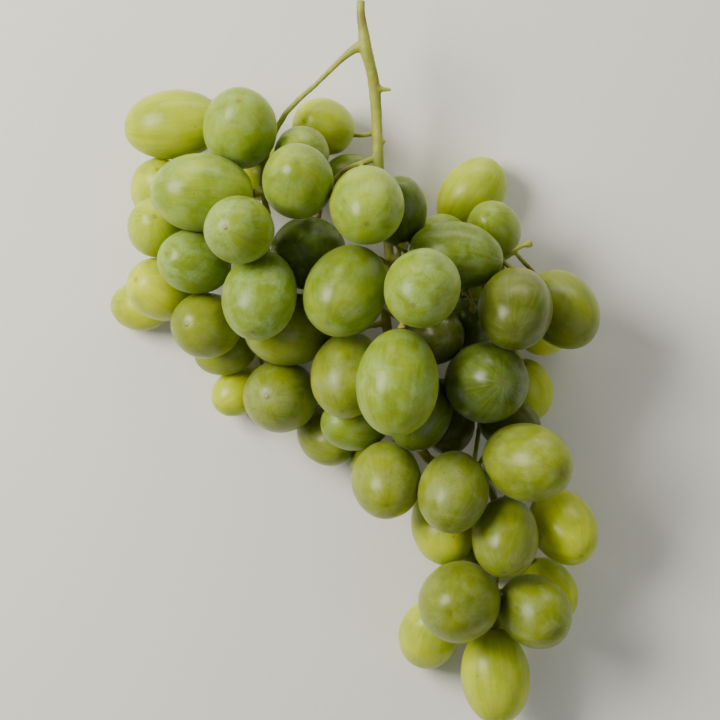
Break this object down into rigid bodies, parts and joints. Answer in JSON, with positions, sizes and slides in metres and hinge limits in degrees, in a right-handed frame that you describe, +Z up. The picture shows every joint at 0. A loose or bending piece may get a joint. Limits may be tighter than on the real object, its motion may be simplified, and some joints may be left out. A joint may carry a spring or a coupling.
{
  "type": "bunch of grapes",
  "caption": "Bunch of green-white table grapes on one branching stem with its cut stalk, lying on its back; oval grapes packed in a wide shoulder and a narrow tail.",
  "frame": {"origin": "on the resting surface, under the middle of the bunch's overall box", "axes": "+Z up from the surface, +Y along the bunch towards the cut stalk, +X to the right of the side that faces up"},
  "size_m": [0.1378, 0.2026, 0.0705],
  "materials": {
    "grape_skin_green": "translucent waxy skin with a pale bloom",
    "grape_skin_olive": "translucent waxy skin, warmer green",
    "grape_skin_gold": "translucent waxy skin, ripe yellow-green",
    "stem_bark": "fresh green-brown stalk, browned at its nodes"
  },
  "bodies": {
    "root": {"shoulder_grape_01": "grape_skin_gold", "shoulder_grape_02": "grape_skin_green", "shoulder_grape_03": "grape_skin_gold", "shoulder_grape_04": "grape_skin_green", "shoulder_grape_05": "grape_skin_green", "shoulder_grape_06": "grape_skin_green", "shoulder_grape_07": "grape_skin_green", "shoulder_grape_08": "grape_skin_gold", "shoulder_grape_09": "grape_skin_green", "shoulder_grape_10": "grape_skin_gold", "shoulder_grape_11": "grape_skin_gold", "shoulder_grape_12": "grape_skin_green", "shoulder_grape_13": "grape_skin_gold", "shoulder_grape_14": "grape_skin_green", "shoulder_grape_15": "grape_skin_olive", "shoulder_grape_16": "grape_skin_green", "shoulder_grape_17": "grape_skin_gold", "upper_grape_01": "grape_skin_green", "upper_grape_02": "grape_skin_green", "upper_grape_03": "grape_skin_green", "upper_grape_04": "grape_skin_gold", "upper_grape_05": "grape_skin_green", "upper_grape_06": "grape_skin_green", "upper_grape_07": "grape_skin_green", "upper_grape_08": "grape_skin_olive", "upper_grape_09": "grape_skin_olive", "upper_grape_10": "grape_skin_gold", "upper_grape_11": "grape_skin_green", "upper_grape_12": "grape_skin_gold", "middle_grape_01": "grape_skin_green", "middle_grape_02": "grape_skin_green", "middle_grape_03": "grape_skin_olive", "middle_grape_04": "grape_skin_gold", "middle_grape_05": "grape_skin_olive", "middle_grape_06": "grape_skin_olive", "middle_grape_07": "grape_skin_olive", "middle_grape_08": "grape_skin_gold", "middle_grape_09": "grape_skin_olive", "middle_grape_10": "grape_skin_green", "middle_grape_11": "grape_skin_olive", "middle_grape_12": "grape_skin_green", "middle_grape_13": "grape_skin_olive", "tail_grape_01": "grape_skin_olive", "tail_grape_02": "grape_skin_olive", "tail_grape_03": "grape_skin_green", "tail_grape_04": "grape_skin_olive", "tail_grape_05": "grape_skin_olive", "tail_grape_06": "grape_skin_olive", "tail_grape_07": "grape_skin_olive", "tail_grape_08": "grape_skin_gold", "tail_grape_09": "grape_skin_olive", "tail_grape_10": "grape_skin_gold", "tail_grape_11": "grape_skin_gold", "tail_grape_12": "grape_skin_olive", "tail_grape_13": "grape_skin_olive", "tail_grape_14": "grape_skin_gold", "tail_grape_15": "grape_skin_gold", "tail_grape_16": "grape_skin_gold", "tail_grape_17": "grape_skin_olive", "stem": "stem_bark"}
  },
  "joints": []
}
